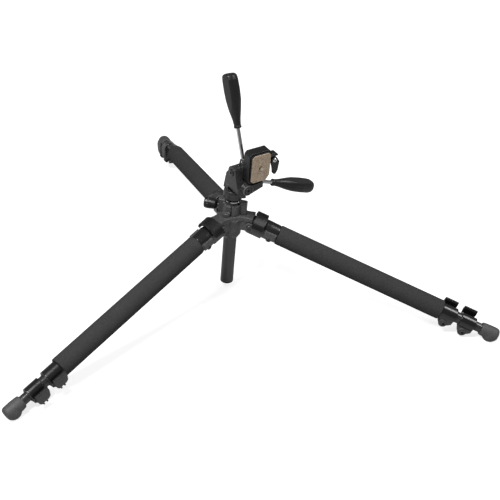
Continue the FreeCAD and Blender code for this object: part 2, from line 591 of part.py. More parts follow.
def make_head():
    """Write the head's nodes."""
    pieces = {
        "pan_base": pan_base(),
        "tilt_body": tilt_body(),
        "tilt_axle": tilt_axle(),
        "tilt_rod": rod_line(handle_rod(TILT_GRIP), V(0, -TILT_ROD_N, TILT_Z), V(0, 1, 0), TILT_ROD_DROP),
        "tilt_grip": rod_line(handle_grip(TILT_GRIP), V(0, -TILT_ROD_N, TILT_Z), V(0, 1, 0), TILT_ROD_DROP),
        "flip_body": flip_body(),
        "flip_axle": flip_axle(),
        "flip_rod": flip_rod_place(handle_rod(FLIP_GRIP)),
        "flip_grip": flip_rod_place(handle_grip(FLIP_GRIP)),
        "qr_lever": qr_lever(),
        "qr_lever_pin": qr_lever_pin(),
        "qr_plate": qr_plate(),
        "cork_pad": cork_pad(),
        "camera_screw": camera_screw(),
    }
    for name, piece in pieces.items():
        piece.rotate(V(0, 0, 0), V(0, 0, 1), HEAD_AZIMUTH)
        save(name, piece)


make_legs()
make_hub()
make_head()
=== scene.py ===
"""Visual model of a three-section camera tripod with a three-way pan head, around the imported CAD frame."""

import json
import logging
import math
from collections.abc import Callable
from dataclasses import dataclass, field
from enum import Enum

import bmesh
import bpy
from mathutils import Matrix, Vector


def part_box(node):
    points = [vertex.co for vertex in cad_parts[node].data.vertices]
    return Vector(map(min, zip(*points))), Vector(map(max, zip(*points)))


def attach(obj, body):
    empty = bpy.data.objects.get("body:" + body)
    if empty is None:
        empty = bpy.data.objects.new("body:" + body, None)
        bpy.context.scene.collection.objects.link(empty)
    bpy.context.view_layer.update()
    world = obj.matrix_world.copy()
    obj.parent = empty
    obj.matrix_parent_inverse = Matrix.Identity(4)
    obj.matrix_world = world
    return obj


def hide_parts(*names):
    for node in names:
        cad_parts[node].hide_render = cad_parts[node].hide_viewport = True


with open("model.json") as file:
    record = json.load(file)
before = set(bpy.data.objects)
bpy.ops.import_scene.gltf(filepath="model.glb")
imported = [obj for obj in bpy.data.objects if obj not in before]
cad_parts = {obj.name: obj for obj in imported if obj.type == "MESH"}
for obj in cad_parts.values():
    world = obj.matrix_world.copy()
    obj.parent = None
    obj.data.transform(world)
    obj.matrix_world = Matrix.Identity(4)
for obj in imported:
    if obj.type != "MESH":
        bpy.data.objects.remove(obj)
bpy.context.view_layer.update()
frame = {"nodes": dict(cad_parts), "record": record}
LOG = logging.getLogger("tripod")
MM = 0.001
MIX_A, MIX_B, MIX_OUT = 6, 7, 2  # the colour sockets of a Mix node
SAME_POINT = 2e-6                # CAD points closer than this, in metres, are one
KEPT_FACES = 0.5                 # share of a cast piece's faces that stay
CAST_EDGE = 60.0                 # degrees past which a cast piece keeps a sharp edge
KEY_SIDES = 6
# the pale grey of rubbed wear and painted highlight on convex edges
RUB_AND_HIGHLIGHT_COLOUR = (0.32, 0.32, 0.33, 1.0)
RUB_AND_HIGHLIGHT_BAND = (0.53, 0.62)            # pointiness from which an edge starts to get, and fully gets, its rubbed wear and painted highlight
PAINTED_SHADE_BAND = (0.40, 0.49)            # pointiness at which the painted shade in a corner is darkest, and at which a corner is as bright as a flat
# how dark the painted shade in a corner gets, as a share of the colour
PAINTED_SHADE_DARKEST = 0.15
FLECK_BAND = (0.38, 0.66)        # the part of the noise that turns base colour into fleck
ALONG_STRETCH = (1.0, 1.0, 0.03)


class Leg(Enum):
    """The three legs, each with its number in the CAD node names."""

    BACK = "1"
    LEFT = "2"
    RIGHT = "3"

    @property
    def number(self) -> str:
        """The leg's number in the CAD node names."""
        return self.value


class Grain(Enum):
    """How a finish's surface texture runs."""

    EVEN = "even"
    ALONG = "along"
    PITTED = "pitted"


# ---- finishes ------------------------------------------------------------------------------
@dataclass(frozen=True)
class Finish:
    """One surface finish, made into a node material on Object coordinates.

    Lengths of texture are given as features per metre. A finish whose edge is above 0 also gets rubbed wear
    with a painted highlight on its convex edges, and painted shade in its corners.
    """

    name: str
    colour: tuple[float, float, float]
    fleck: tuple[float, float, float]
    roughness: float = 0.5
    rough_spread: float = 0.1
    metallic: float = 0.0
    specular: float = 0.5
    fleck_scale: float = 900.0
    fleck_amount: float = 0.35
    mottle_scale: float = 35.0
    mottle: float = 0.12
    bump: float = 0.15
    bump_depth: float = 0.0002
    grain: Grain = Grain.EVEN
    # share of rubbed wear and painted highlight on convex edges; above 0 it also adds painted shade in
    # corners
    edge: float = 0.0
    coat: float = 0.0

    def material(self) -> bpy.types.Material:
        """Build the material, or return it if it was built before.

        Returns:
            The node material that carries this finish.
        """
        known = bpy.data.materials.get(f"{self.name}_finish")
        if known is not None:
            return known
        made = bpy.data.materials.new(f"{self.name}_finish")
        made.use_nodes = True
        tree = made.node_tree
        tree.nodes.clear()
        out = tree.nodes.new("ShaderNodeOutputMaterial")
        shader = tree.nodes.new("ShaderNodeBsdfPrincipled")
        tree.links.new(shader.outputs["BSDF"], out.inputs["Surface"])
        shader.inputs["Metallic"].default_value = self.metallic
        shader.inputs["Specular IOR Level"].default_value = self.specular
        shader.inputs["Coat Weight"].default_value = self.coat
        place = tree.nodes.new("ShaderNodeTexCoord")
        fine = self._fine(tree, place)
        broad = tree.nodes.new("ShaderNodeTexNoise")
        broad.inputs["Scale"].default_value = self.mottle_scale
        broad.inputs["Detail"].default_value = 3.0
        tree.links.new(place.outputs["Object"], broad.inputs["Vector"])
        colour = self._mix(tree, fine, broad)
        if self.edge > 0:
            colour = self._worn(tree, colour)
        tree.links.new(colour, shader.inputs["Base Color"])
        rough = tree.nodes.new("ShaderNodeMapRange")
        rough.inputs["To Min"].default_value = max(self.roughness - self.rough_spread, 0.02)
        rough.inputs["To Max"].default_value = min(self.roughness + self.rough_spread, 1.0)
        tree.links.new(broad.outputs["Fac"], rough.inputs["Value"])
        tree.links.new(rough.outputs["Result"], shader.inputs["Roughness"])
        bump = tree.nodes.new("ShaderNodeBump")
        bump.inputs["Strength"].default_value = self.bump
        bump.inputs["Distance"].default_value = self.bump_depth
        tree.links.new(fine, bump.inputs["Height"])
        tree.links.new(bump.outputs["Normal"], shader.inputs["Normal"])
        return made

    def _fine(self, tree: bpy.types.NodeTree, place: bpy.types.Node) -> bpy.types.NodeSocket:
        """The fine texture as a 0 to 1 socket.

        Args:
            tree: The material's node tree.
            place: Its texture coordinate node.

        Returns:
            The socket that carries the texture.
        """
        if self.grain is Grain.PITTED:
            cells = tree.nodes.new("ShaderNodeTexVoronoi")
            cells.inputs["Scale"].default_value = self.fleck_scale
            tree.links.new(place.outputs["Object"], cells.inputs["Vector"])
            return cells.outputs["Distance"]
        noise = tree.nodes.new("ShaderNodeTexNoise")
        noise.inputs["Scale"].default_value = self.fleck_scale
        noise.inputs["Detail"].default_value = 2.5
        if self.grain is Grain.ALONG:
            stretch = tree.nodes.new("ShaderNodeMapping")
            stretch.inputs["Scale"].default_value = ALONG_STRETCH
            tree.links.new(place.outputs["Object"], stretch.inputs["Vector"])
            tree.links.new(stretch.outputs["Vector"], noise.inputs["Vector"])
        else:
            tree.links.new(place.outputs["Object"], noise.inputs["Vector"])
        return noise.outputs["Fac"]

    def _mix(self, tree: bpy.types.NodeTree, fine: bpy.types.NodeSocket,
             broad: bpy.types.Node) -> bpy.types.NodeSocket:
        """Base colour with flecks and a slow mottle.

        Args:
            tree: The material's node tree.
            fine: The fine texture's socket.
            broad: The noise node of the mottle.

        Returns:
            The socket that carries the colour.
        """
        spread = tree.nodes.new("ShaderNodeMapRange")
        spread.inputs["From Min"].default_value = FLECK_BAND[0]
        spread.inputs["From Max"].default_value = FLECK_BAND[1]
        spread.inputs["To Max"].default_value = self.fleck_amount
        tree.links.new(fine, spread.inputs["Value"])
        flecked = tree.nodes.new("ShaderNodeMix")
        flecked.data_type = "RGBA"
        flecked.inputs[MIX_A].default_value = (*self.colour, 1.0)
        flecked.inputs[MIX_B].default_value = (*self.fleck, 1.0)
        tree.links.new(spread.outputs["Result"], flecked.inputs["Factor"])
        slow = tree.nodes.new("ShaderNodeMapRange")
        slow.inputs["To Min"].default_value = 1.0 - self.mottle
        slow.inputs["To Max"].default_value = 1.0 + self.mottle
        tree.links.new(broad.outputs["Fac"], slow.inputs["Value"])
        tint = tree.nodes.new("ShaderNodeVectorMath")
        tint.operation = "SCALE"
        tree.links.new(flecked.outputs[MIX_OUT], tint.inputs[0])
        tree.links.new(slow.outputs["Result"], tint.inputs["Scale"])
        return tint.outputs["Vector"]

    def _worn(self, tree: bpy.types.NodeTree, colour: bpy.types.NodeSocket) -> bpy.types.NodeSocket:
        """Lighten the convex edges with rubbed wear and a painted highlight, and darken the corners with
        painted shade.

        Args:
            tree: The material's node tree.
            colour: The socket of the colour so far.

        Returns:
            The socket that carries the worn colour.
        """
        shape = tree.nodes.new("ShaderNodeNewGeometry")
        # rubbed wear and painted highlight: convex edges lighten towards a pale grey
        ramp = tree.nodes.new("ShaderNodeMapRange")
        ramp.inputs["From Min"].default_value = RUB_AND_HIGHLIGHT_BAND[0]
        ramp.inputs["From Max"].default_value = RUB_AND_HIGHLIGHT_BAND[1]
        ramp.inputs["To Max"].default_value = self.edge
        tree.links.new(shape.outputs["Pointiness"], ramp.inputs["Value"])
        rub_and_highlight = tree.nodes.new("ShaderNodeMix")
        rub_and_highlight.data_type = "RGBA"
        rub_and_highlight.inputs[MIX_B].default_value = RUB_AND_HIGHLIGHT_COLOUR
        tree.links.new(colour, rub_and_highlight.inputs[MIX_A])
        tree.links.new(ramp.outputs["Result"], rub_and_highlight.inputs["Factor"])
        # painted shade: the colour darkens in concave corners, where shade falls
        painted_shade = tree.nodes.new("ShaderNodeMapRange")
        painted_shade.inputs["From Min"].default_value = PAINTED_SHADE_BAND[0]
        painted_shade.inputs["From Max"].default_value = PAINTED_SHADE_BAND[1]
        painted_shade.inputs["To Min"].default_value = PAINTED_SHADE_DARKEST
        tree.links.new(shape.outputs["Pointiness"], painted_shade.inputs["Value"])
        shaded = tree.nodes.new("ShaderNodeVectorMath")
        shaded.operation = "SCALE"
        tree.links.new(rub_and_highlight.outputs[MIX_OUT], shaded.inputs[0])
        tree.links.new(painted_shade.outputs["Result"], shaded.inputs["Scale"])
        return shaded.outputs["Vector"]


# Finishes with an edge above 0 get rubbed wear and painted highlight on convex edges, and painted shade in
# corners.
HUB_PAINT = Finish("hub_paint", (0.026, 0.026, 0.027), (0.135, 0.135, 0.138), roughness=0.33,
                   fleck_scale=620, fleck_amount=0.75, bump=0.55, edge=0.45)
HEAD_PAINT = Finish("head_paint", (0.010, 0.010, 0.0105), (0.058, 0.058, 0.060), roughness=0.30,
                    fleck_scale=700, fleck_amount=0.7, bump=0.45, edge=0.5)
LEVER_PAINT = Finish("lever_paint", (0.022, 0.022, 0.023), (0.085, 0.085, 0.088), roughness=0.5,
                     fleck_scale=560, fleck_amount=0.8, bump=0.6, edge=0.2)
BLACK_GLOSS = Finish("black_gloss", (0.006, 0.006, 0.0065), (0.013, 0.013, 0.014), roughness=0.27,
                     rough_spread=0.06, fleck_scale=500, bump=0.04, coat=0.3, edge=0.1)
BLACK_SATIN = Finish("black_satin", (0.006, 0.006, 0.0065), (0.018, 0.018, 0.019), roughness=0.38,
                     fleck_scale=800, bump=0.15, edge=0.2)
BLACK_STEEL = Finish("black_steel", (0.030, 0.030, 0.032), (0.09, 0.09, 0.09), roughness=0.34,
                     metallic=0.6, fleck_scale=900, bump=0.1, edge=0.5)
COLUMN_GREY = Finish("column_grey", (0.075, 0.075, 0.076), (0.125, 0.125, 0.128), roughness=0.36,
                     metallic=0.35, fleck_scale=1100, bump=0.1, grain=Grain.ALONG)
TUBE_GREY = Finish("tube_grey", (0.050, 0.050, 0.052), (0.095, 0.095, 0.098), roughness=0.24,
                   metallic=0.6, fleck_scale=1000, bump=0.06)
CHROME = Finish("chrome", (0.78, 0.78, 0.79), (0.60, 0.60, 0.61), roughness=0.12, rough_spread=0.05,
                metallic=1.0, fleck_scale=700, fleck_amount=0.2, bump=0.02)
SCREW_BRASS = Finish("screw_brass", (0.66, 0.60, 0.46), (0.5, 0.42, 0.26), roughness=0.3,
                     metallic=1.0, fleck_scale=900, bump=0.05)
FOAM = Finish("foam", (0.030, 0.030, 0.031), (0.066, 0.066, 0.068), roughness=0.9, specular=0.03,
              fleck_scale=1000, fleck_amount=0.8, bump=0.8, bump_depth=0.0004, mottle=0.1)
CORK = Finish("cork", (0.56, 0.45, 0.34), (0.25, 0.18, 0.125), roughness=0.85, specular=0.2,
              fleck_scale=620, fleck_amount=0.75, mottle_scale=240, mottle=0.25, bump=0.6,
              grain=Grain.PITTED)
FOOT_RUBBER = Finish("foot_rubber", (0.045, 0.045, 0.046), (0.095, 0.095, 0.098), roughness=0.6,
                     fleck_scale=600, fleck_amount=0.7, bump=0.4, edge=0.2)

SLOT_FINISH = {
    "hub_paint": HUB_PAINT, "black_steel": BLACK_STEEL, "black_plastic": BLACK_SATIN,
    "column_anodised": COLUMN_GREY, "chrome": CHROME, "head_paint": HEAD_PAINT,
    "grip_plastic": BLACK_SATIN, "cork_rubber": CORK, "screw_steel": SCREW_BRASS,
    "tube_anodised": TUBE_GREY, "foam": FOAM, "ribbed_plastic": BLACK_SATIN,
    "clamp_plastic": BLACK_GLOSS, "lever_plastic": LEVER_PAINT, "foot_rubber": FOOT_RUBBER,
}


def slot_of(node: str) -> str:
    """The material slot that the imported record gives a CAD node.

    Args:
        node: The CAD node's name.

    Returns:
        The slot's name.
    """
    for row in frame["record"]["subparts"]:
        if row["node"] == node:
            return row["material_slot"]
    raise KeyError(node)


def dress(piece: bpy.types.Object, finish: Finish) -> None:
    """Give a piece one finish all over."""
    piece.data.materials.clear()
    piece.data.materials.append(finish.material())


def joint(name: str) -> dict:
    """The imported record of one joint."""
    return next(row for row in frame["record"]["behaviour"]["joints"] if row["name"] == name)


def aimed(origin: Vector, axis: Vector) -> Matrix:
    """A frame at a place, with its +X along an axis."""
    return Matrix.Translation(origin) @ axis.to_track_quat("X", "Z").to_matrix().to_4x4()


UPRIGHT = aimed(Vector((0, 0, 0)), Vector((0, 0, 1)))


# ---- modelling bench -----------------------------------------------------------------------
class Bench:
    """Modelling steps that the sub-assemblies share."""

    @staticmethod
    def clear() -> None:
        """Leave edit mode and deselect everything."""
        if bpy.context.object is not None and bpy.context.object.mode != "OBJECT":
            bpy.ops.object.mode_set(mode="OBJECT")
        bpy.ops.object.select_all(action="DESELECT")

    @staticmethod
    def pick(piece: bpy.types.Object) -> None:
        """Make one piece the selected and active one."""
        Bench.clear()
        piece.select_set(True)
        bpy.context.view_layer.objects.active = piece

    @staticmethod
    def modify(piece: bpy.types.Object, kind: str, **values: object) -> None:
        """Add a modifier with its values and apply it.

        Args:
            piece: The mesh object.
            kind: Blender's modifier type.
            values: Properties of the modifier.
        """
        Bench.pick(piece)
        step = piece.modifiers.new(kind.lower(), kind)
        for key, value in values.items():
            setattr(step, key, value)
        bpy.ops.object.modifier_apply(modifier=step.name)

    @staticmethod
    def cad_copy(node: str, name: str, into: Matrix) -> bpy.types.Object:
        """A merged copy of a CAD node's mesh, moved into a local frame.

        Args:
            node: The CAD node.
            name: The new piece's name.
            into: The local frame's matrix in the part's frame.

        Returns:
            The copy, with its mesh in the local frame.
        """
        mesh = frame["nodes"][node].data.copy()
        piece = bpy.data.objects.new(name, mesh)
        bpy.context.scene.collection.objects.link(piece)
        mesh.transform(into.inverted())
        shaped = bmesh.new()
        shaped.from_mesh(mesh)
        bmesh.ops.remove_doubles(shaped, verts=shaped.verts, dist=SAME_POINT)
        shaped.to_mesh(mesh)
        shaped.free()
        return piece

    @staticmethod
    def cast(piece: bpy.types.Object, voxel: float, passes: int = 4) -> None:
        """Turn hard machined edges into the soft ones of a casting or moulding.

        Args:
            piece: The mesh object.
            voxel: Size of the new faces, in metres.
            passes: How many times the surface is relaxed.
        """
        Bench.modify(piece, "REMESH", mode="VOXEL", voxel_size=voxel)
        Bench.modify(piece, "SMOOTH", factor=0.5, iterations=passes)
        Bench.modify(piece, "DECIMATE", ratio=KEPT_FACES)
        Bench.smooth(piece, CAST_EDGE)

    @staticmethod
    def smooth(piece: bpy.types.Object, angle: float = 35.0) -> None:
        """Shade smooth, but for edges sharper than an angle in degrees."""
        Bench.pick(piece)
        bpy.ops.object.shade_smooth_by_angle(angle=math.radians(angle))

    @staticmethod
    def lathe(name: str, stations: list[tuple[float, float]], segments: int = 64,
              closed: bool = True) -> bpy.types.Object:
        """Turn a piece about +X by extruding a circle from station to station.

        Args:
            name: The piece's name.
            stations: (x, radius) pairs in metres.
            segments: Points round the circle.
            closed: Whether the two ends get a face.

        Returns:
            The piece, with its axis on +X.
        """
        Bench.clear()
        x0, r0 = stations[0]
        bpy.ops.mesh.primitive_circle_add(vertices=segments, radius=r0, location=(x0, 0, 0),
                                          rotation=(0, math.pi / 2, 0),
                                          fill_type="NGON" if closed else "NOTHING")
        piece = bpy.context.object
        piece.name = name
        bpy.ops.object.transform_apply(location=True, rotation=True, scale=True)
        bpy.ops.object.mode_set(mode="EDIT")
        bpy.ops.mesh.select_all(action="SELECT")
        for (x_before, r_before), (x, r) in zip(stations, stations[1:]):
            if closed:
                bpy.ops.mesh.extrude_region_move(TRANSFORM_OT_translate={"value": (x - x_before, 0, 0)})
            else:
                bpy.ops.mesh.extrude_edges_move(TRANSFORM_OT_translate={"value": (x - x_before, 0, 0)})
            scale = r / r_before
            bpy.ops.transform.resize(value=(1.0, scale, scale), center_override=(x, 0, 0))
        bpy.ops.mesh.select_all(action="SELECT")
        bpy.ops.mesh.normals_make_consistent(inside=False)
        bpy.ops.object.mode_set(mode="OBJECT")
        Bench.smooth(piece)
        return piece

    @staticmethod
    def carve(piece: bpy.types.Object, x: float, radius: float, depth: float) -> None:
        """Cut a hexagon key's socket into an end face of a piece, on its axis.

        Args:
            piece: The mesh object, in its local frame.
            x: Where the end face lies.
            radius: The socket's radius over its corners.
            depth: How deep it goes from the end face.
        """
        Bench.clear()
        bpy.ops.mesh.primitive_cylinder_add(vertices=KEY_SIDES, radius=radius, depth=2 * depth,
                                            location=(x, 0, 0), rotation=(0, math.pi / 2, 0))
        cutter = bpy.context.object
        Bench.modify(piece, "BOOLEAN", operation="DIFFERENCE", object=cutter, solver="EXACT")
        bpy.data.objects.remove(cutter)

    @staticmethod
    def weld(pieces: list[bpy.types.Object], name: str) -> bpy.types.Object:
        """Join several solids of one part into one object.

        Args:
            pieces: The objects to join, in one local frame.
            name: The joined object's name.

        Returns:
            The joined object.
        """
        Bench.pick(pieces[0])
        for piece in pieces[1:]:
            piece.select_set(True)
        bpy.ops.object.join()
        pieces[0].name = name
        return pieces[0]

    @staticmethod
    def placed(piece: bpy.types.Object, place: Matrix) -> bpy.types.Object:
        """Move a piece's mesh, and leave its object where it is.

        Args:
            piece: The mesh object.
            place: The matrix to move its points by.

        Returns:
            The piece.
        """
        piece.data.transform(place)
        piece.data.update()
        return piece

    @staticmethod
    def two_tone(piece: bpy.types.Object, finish: Finish, test: Callable[[Vector], bool]) -> None:
        """Give the faces that a test picks a second finish.

        Args:
            piece: The dressed mesh object.
            finish: The second finish.
            test: Tells from a face's middle whether it gets the second finish.
        """
        piece.data.materials.append(finish.material())
        second = len(piece.data.materials) - 1
        for face in piece.data.polygons:
            if test(face.center):
                face.material_index = second

    @staticmethod
    def settle(piece: bpy.types.Object, place: Matrix, body: str, slot: str,
               *nodes: str) -> bpy.types.Object:
        """Put a finished piece in the part's frame and tie it to its body.

        Args:
            piece: The finished and dressed mesh object, in its local frame.
            place: The local frame's matrix in the part's frame.
            body: The CAD body that it moves with.
            slot: The record's material slot; not used.
            nodes: CAD nodes that it stands for.

        Returns:
            The piece.
        """
        Bench.placed(piece, place)
        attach(piece, body)
        if nodes:
            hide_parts(*nodes)
        LOG.info("%s on %s: %d faces", piece.name, body, len(piece.data.polygons))
        return piece

    @staticmethod
    def twin(piece: bpy.types.Object, name: str) -> bpy.types.Object:
        """A copy of a piece with its own mesh.

        Args:
            piece: The mesh object to copy.
            name: The copy's name.

        Returns:
            The copy.
        """
        other = piece.copy()
        other.data = piece.data.copy()
        other.name = name
        bpy.context.scene.collection.objects.link(other)
        return other


# ---- legs ----------------------------------------------------------------------------------
@dataclass
class LegMaker:
    """The pieces of a leg, modelled once along +X and copied to the three legs."""

    hinge_along: float = 1.3 * MM
    hinge_above: float = -4.3 * MM
    ear_out: float = 18.7 * MM
    foam_radius: float = 21.0 * MM
    foam_span: tuple[float, float] = (60.7 * MM, 439.1 * MM)
    tab_span: tuple[float, float] = (3.0 * MM, 28.0 * MM)
    tab_radii: tuple[float, float] = (21.6 * MM, 27.9 * MM)
    tab_floor: float = 7.0 * MM
    tab_ribs: int = 11
    upper_middle: float = 455.7 * MM
    lower_middle: float = 500.3 * MM
    bolt_side: float = -17.0 * MM
    pivot_side: float = 21.0 * MM
    bolt_below: float = -18.5 * MM
    upper_bush: tuple[float, float, float] = (472.0 * MM, 12.08 * MM, 14.6 * MM)
    lower_bush: tuple[float, float, float] = (516.6 * MM, 10.08 * MM, 12.8 * MM)
    block_screw: tuple[float, float] = (46.0 * MM, -7.0 * MM)
    nut_size: tuple[float, float, float] = (1.8 * MM, 8.6 * MM, 10.4 * MM)
    bolt_face: tuple[float, float] = (2.7 * MM, 6.6 * MM)      # pale ring of a hinge bolt's end
    shoulder_core: tuple[float, float] = (13.9 * MM, 9.6 * MM)  # half width and top of the glossy body
    clamp_belly: float = -9.0 * MM
    lever_face: tuple[float, float] = (26.0 * MM, 16.6 * MM)   # where a lever's textured face starts and ends
    models: dict[str, bpy.types.Object] = field(default_factory=dict)

    def place(self, leg: Leg) -> Matrix:
        """The leg frame, worked out from the leg's joints.

        Args:
            leg: Which leg.

        Returns:
            Its matrix, with +X along the leg, +Y sideways and +Z off its top.
        """
        along = Vector(joint(f"leg_{leg.number}_stop_tab")["axis"])
        side = Vector(joint(f"leg_{leg.number}_fold")["axis"])
        above = along.cross(side)
        root = Vector(joint(f"leg_{leg.number}_fold")["pos_m"])
        root -= along * self.hinge_along + above * self.hinge_above
        return Matrix.Translation(root) @ Matrix((along, side, above)).transposed().to_4x4()

    def foam(self) -> bpy.types.Object:
        """Foam sleeve: a long tube with soft rolled ends and a slightly uneven skin.

        Returns:
            The sleeve, in the leg frame.
        """
        start, end = self.foam_span
        r = self.foam_radius
        stations = [(start, 0.72 * r), (start, 0.90 * r), (start + 0.5 * MM, 0.955 * r),
                    (start + 1.4 * MM, 0.99 * r), (start + 3.0 * MM, r)]
        steps = 24
        for i in range(1, steps):
            x = start + (end - start) * i / steps
            wave = 0.0022 * math.sin(7.0 * i) + 0.0014 * math.sin(2.3 * i)
            stations.append((x, r * (1.0 - abs(wave))))
        stations += [(end - 3.0 * MM, r), (end - 1.4 * MM, 0.99 * r), (end - 0.5 * MM, 0.955 * r),
                     (end, 0.90 * r), (end, 0.72 * r)]
        return Bench.lathe("foam_model", stations, segments=72)

    def tab(self) -> bpy.types.Object:
        """Ribbed saddle: a turned shell, cut to an arch and given its wall.

        Returns:
            The saddle, in the leg frame.
        """
        start, end = self.tab_span
        inner, outer = self.tab_radii
        pitch = (end - start - 2.0 * MM) / self.tab_ribs
        stations = [(start, outer - 1.2 * MM), (start + 0.8 * MM, outer - 0.2 * MM)]
        for i in range(self.tab_ribs):
            x = start + 1.2 * MM + i * pitch
            stations += [(x, outer - 0.2 * MM), (x + 0.2 * pitch, outer + 0.55 * MM),
                         (x + 0.5 * pitch, outer + 0.55 * MM), (x + 0.7 * pitch, outer - 0.2 * MM)]
        stations += [(end - 0.6 * MM, outer - 0.2 * MM), (end, outer - 1.2 * MM)]
        shell = Bench.lathe("tab_model", stations, segments=96, closed=False)
        bpy.ops.object.mode_set(mode="EDIT")
        bpy.ops.mesh.select_all(action="SELECT")
        bpy.ops.mesh.bisect(plane_co=(0, 0, self.tab_floor), plane_no=(0, 0, 1), clear_inner=True)
        bpy.ops.object.mode_set(mode="OBJECT")
        Bench.modify(shell, "SOLIDIFY", thickness=outer - inner - 0.6 * MM, offset=-1.0)
        Bench.modify(shell, "BEVEL", width=0.5 * MM, segments=2, angle_limit=math.radians(50))
        Bench.smooth(shell, 32)
        return shell

    def clamp_bolt(self, middle: float) -> bpy.types.Object:
        """Socket-head bolt across a lock collar, with the lever's pivot bar at its far end.

        Args:
            middle: Where the bolt crosses, along the leg.

        Returns:
            The bolt and its bar, in the leg frame.
        """
        head, far = self.bolt_side, self.pivot_side
        top, neck = head - 0.6 * MM, head + 2 * MM
        bolt = Bench.lathe("bolt", [(top, 3.5 * MM), (head, 4.15 * MM), (neck, 4.15 * MM), (neck, 2.5 * MM),
                                    (far - 0.5 * MM, 2.5 * MM), (far, 2.0 * MM)], segments=40)
        Bench.carve(bolt, top, 2.5 * MM, 1.9 * MM)
        Bench.placed(bolt, aimed(Vector((middle, 0, self.bolt_below)), Vector((0, 1, 0))))
        bar = Bench.lathe("bar", [(-6.3 * MM, 1.4 * MM), (-5.9 * MM, 1.8 * MM), (5.9 * MM, 1.8 * MM),
                                  (6.3 * MM, 1.4 * MM)], segments=28)
        Bench.placed(bar, Matrix.Translation((middle, far, self.bolt_below)))
        welded = Bench.weld([bolt, bar], "clamp_bolt_model")
        Bench.smooth(welded)
        return welded

    def bush(self, x: float, bore: float, outer: float) -> bpy.types.Object:
        """Guide bush that shows at the mouth of a lock collar.

        Args:
            x: Where the collar's mouth is, along the leg.
            bore: The bush's inner radius.
            outer: Its outer radius.

        Returns:
            The bush, in the leg frame.
        """
        stations = [(x - 1.2 * MM, bore), (x - 1.2 * MM, outer), (x + 0.7 * MM, outer),
                    (x + 1.3 * MM, outer - 0.6 * MM), (x + 1.3 * MM, bore + 0.4 * MM),
                    (x + 0.7 * MM, bore), (x - 1.2 * MM, bore)]
        return Bench.lathe("bush_model", stations, segments=56, closed=False)

    def block_screws(self) -> bpy.types.Object:
        """Round-headed screws in the two side blocks of a shoulder.

        Returns:
            Both screws as one object, in the leg frame.
        """
        along, above = self.block_screw
        crown = 23.4 * MM
        screws = []
        for side in (-1, 1):
            screw = Bench.lathe("screw", [(21.2 * MM, 3.6 * MM), (22.4 * MM, 3.6 * MM), (23.1 * MM, 2.9 * MM),
                                          (crown, 1.6 * MM)], segments=32)
            Bench.carve(screw, crown, 1.5 * MM, 1.2 * MM)
            screws.append(Bench.placed(screw, aimed(Vector((along, 0, above)), Vector((0, side, 0)))))
        welded = Bench.weld(screws, "block_screws_model")
        Bench.smooth(welded)
        return welded

    def hinge_bolt(self) -> bpy.types.Object:
        """Hinge bolt: round capped head on one side, rounded-square nut on the other.

        Returns:
            The bolt, its nut and the nut's rim as one object, in the leg frame.
        """
        out = self.ear_out
        bolt = Bench.lathe("bolt", [(-out - 2.0 * MM, 4.4 * MM), (-out - 2.3 * MM, 5.4 * MM),
                                    (-out - 2.3 * MM, 7.2 * MM), (-out - 1.6 * MM, 7.9 * MM),
                                    (-out - 0.2 * MM, 7.9 * MM), (-out - 0.2 * MM, 3.1 * MM),
                                    (out + 0.6 * MM, 3.1 * MM)], segments=56)
        Bench.clear()
        bpy.ops.mesh.primitive_cube_add(size=1.0, location=(out + 1.1 * MM, 0, 0))
        nut = bpy.context.object
        nut.scale = self.nut_size
        bpy.ops.object.transform_apply(location=True, rotation=True, scale=True)
        Bench.modify(nut, "BEVEL", width=0.7 * MM, segments=3, angle_limit=math.radians(40))
        Bench.carve(nut, out + 2.0 * MM, 2.6 * MM, 1.2 * MM)
        rim = Bench.lathe("rim", [(out + 0.1 * MM, 7.2 * MM), (out + 0.1 * MM, 8.4 * MM),
                                  (out + 0.8 * MM, 8.1 * MM), (out + 0.8 * MM, 7.5 * MM)], segments=48)
        welded = Bench.weld([bolt, nut, rim], "hinge_bolt_model")
        hinge = Matrix.Translation((self.hinge_along, 0, self.hinge_above))
        Bench.placed(welded, hinge @ aimed(Vector((0, 0, 0)), Vector((0, 1, 0))))
        Bench.smooth(welded)
        return welded

    def tones(self, part: str, piece: bpy.types.Object) -> None:
        """Second finishes of a leg piece, picked by place in the leg frame.

        Args:
            part: The piece's name without its leg.
            piece: The dressed mesh object, in the leg frame.
        """
        if part == "shoulder":
            half, top = self.shoulder_core
            Bench.two_tone(piece, BLACK_GLOSS, lambda c: abs(c.y) < half or c.z > top)
        elif part.endswith("_clamp"):
            Bench.two_tone(piece, LEVER_PAINT, lambda c: c.z < self.clamp_belly)
        elif part.endswith("_lever"):
            skin, rim = self.lever_face
            Bench.two_tone(piece, BLACK_GLOSS, lambda c: c.y < skin or c.z > rim)

    def build(self) -> None:
        """Model each piece once, then settle a copy of it on every leg."""
        home = self.place(Leg.BACK)
        cast_nodes = {"shoulder": 0.75, "upper_clamp": 0.6, "lower_clamp": 0.6, "upper_lever": 0.5,
                      "lower_lever": 0.5, "foot": 0.6}
        for part, voxel in cast_nodes.items():
            model = Bench.cad_copy(f"leg_1_{part}", f"{part}_model", home)
            Bench.cast(model, voxel * MM)
            self.models[part] = model
        self.models["foam_grip"] = self.foam()
        self.models["angle_tab"] = self.tab()
        self.models["upper_clamp_bolt"] = self.clamp_bolt(self.upper_middle)
        self.models["lower_clamp_bolt"] = self.clamp_bolt(self.lower_middle)
        riders = {"shoulder": "upper", "upper_clamp": "upper", "foam_grip": "upper", "angle_tab": "tab",
                  "upper_lever": "upper_lever", "lower_clamp": "middle", "lower_lever": "lower_lever",
                  "foot": "lower", "upper_clamp_bolt": "upper", "lower_clamp_bolt": "middle"}
        for part, model in self.models.items():
            for leg in Leg:
                node = f"leg_{leg.number}_{part}"
                piece = Bench.twin(model, f"leg_{leg.number}_{part}_skin")
                slot = slot_of(node)
                dress(piece, SLOT_FINISH[slot])
                self.tones(part, piece)
                Bench.settle(piece, self.place(leg), f"leg_{leg.number}_{riders[part]}", slot, node)
            bpy.data.objects.remove(model)
        self.trim()

